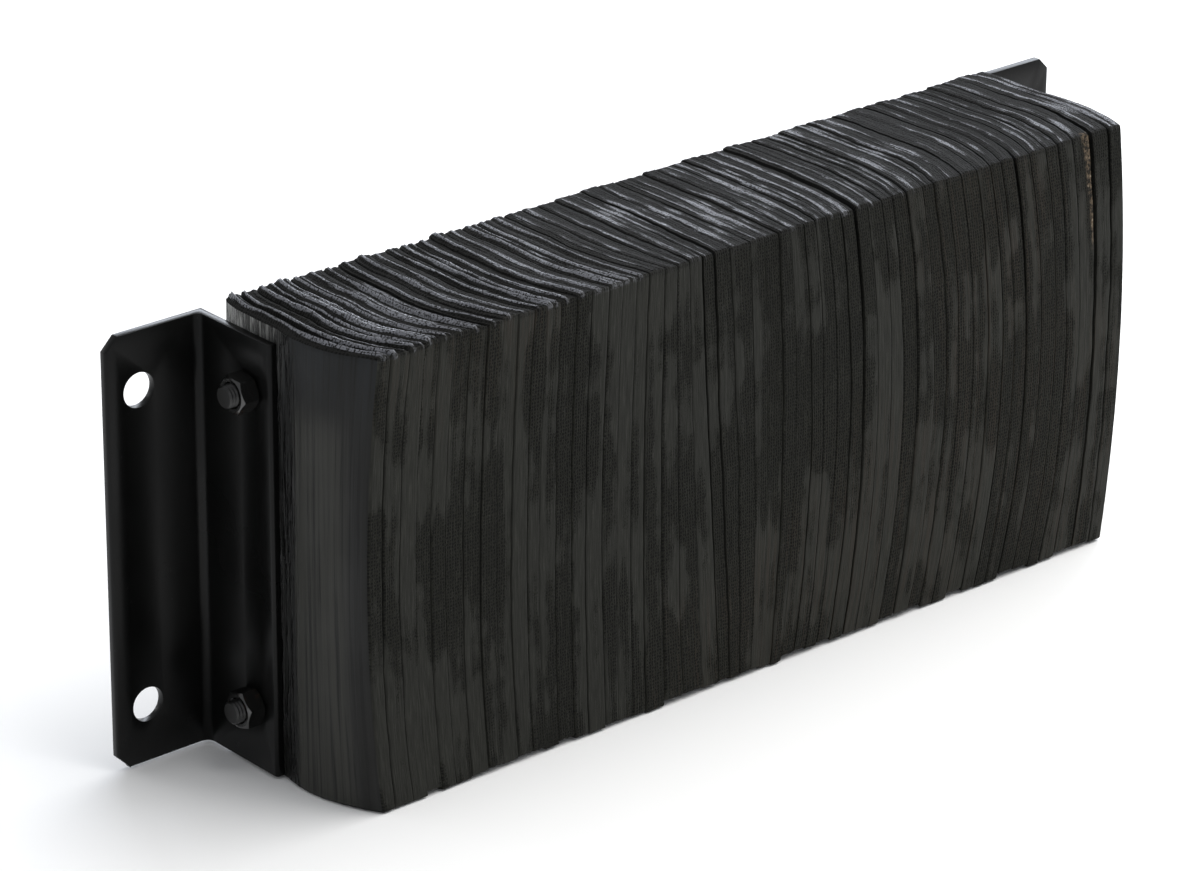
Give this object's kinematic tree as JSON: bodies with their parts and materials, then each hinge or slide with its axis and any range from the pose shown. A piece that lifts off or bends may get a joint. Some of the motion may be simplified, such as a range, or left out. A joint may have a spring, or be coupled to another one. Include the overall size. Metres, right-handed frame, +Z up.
{
  "type": "laminated dock bumper",
  "caption": "Block of upright rubber plies clamped on tie rods between two steel angle irons, to cushion the edge of a loading dock.",
  "frame": {"origin": "on the floor, in the middle of the bumper's length and halfway between the wall and the impact face", "axes": "+X along the stack of plies, +Y towards the wall, +Z up"},
  "size_m": [0.6716, 0.129, 0.254],
  "materials": {
    "rubber": "matt saw-cut tyre rubber with cut cords",
    "painted_steel": "satin black paint",
    "fasteners": "gloss black paint with a trace of rust"
  },
  "bodies": {
    "root": {"ply_01": "rubber", "ply_02": "rubber", "ply_03": "rubber", "ply_04": "rubber", "ply_05": "rubber", "ply_06": "rubber", "ply_07": "rubber", "ply_08": "rubber", "ply_09": "rubber", "ply_10": "rubber", "ply_11": "rubber", "ply_12": "rubber", "ply_13": "rubber", "ply_14": "rubber", "ply_15": "rubber", "ply_16": "rubber", "ply_17": "rubber", "ply_18": "rubber", "ply_19": "rubber", "ply_20": "rubber", "ply_21": "rubber", "ply_22": "rubber", "ply_23": "rubber", "ply_24": "rubber", "ply_25": "rubber", "ply_26": "rubber", "ply_27": "rubber", "ply_28": "rubber", "ply_29": "rubber", "ply_30": "rubber", "ply_31": "rubber", "ply_32": "rubber", "ply_33": "rubber", "ply_34": "rubber", "ply_35": "rubber", "ply_36": "rubber", "ply_37": "rubber", "ply_38": "rubber", "ply_39": "rubber", "ply_40": "rubber", "ply_41": "rubber", "ply_42": "rubber", "ply_43": "rubber", "ply_44": "rubber", "ply_45": "rubber", "ply_46": "rubber", "ply_47": "rubber", "ply_48": "rubber", "ply_49": "rubber", "ply_50": "rubber", "ply_51": "rubber", "ply_52": "rubber", "angle_iron_left": "painted_steel", "angle_iron_right": "painted_steel", "tie_rod_lower": "fasteners", "tie_rod_upper": "fasteners", "hex_nut_left_lower": "fasteners", "hex_nut_right_lower": "fasteners", "hex_nut_left_upper": "fasteners", "hex_nut_right_upper": "fasteners"}
  },
  "joints": []
}
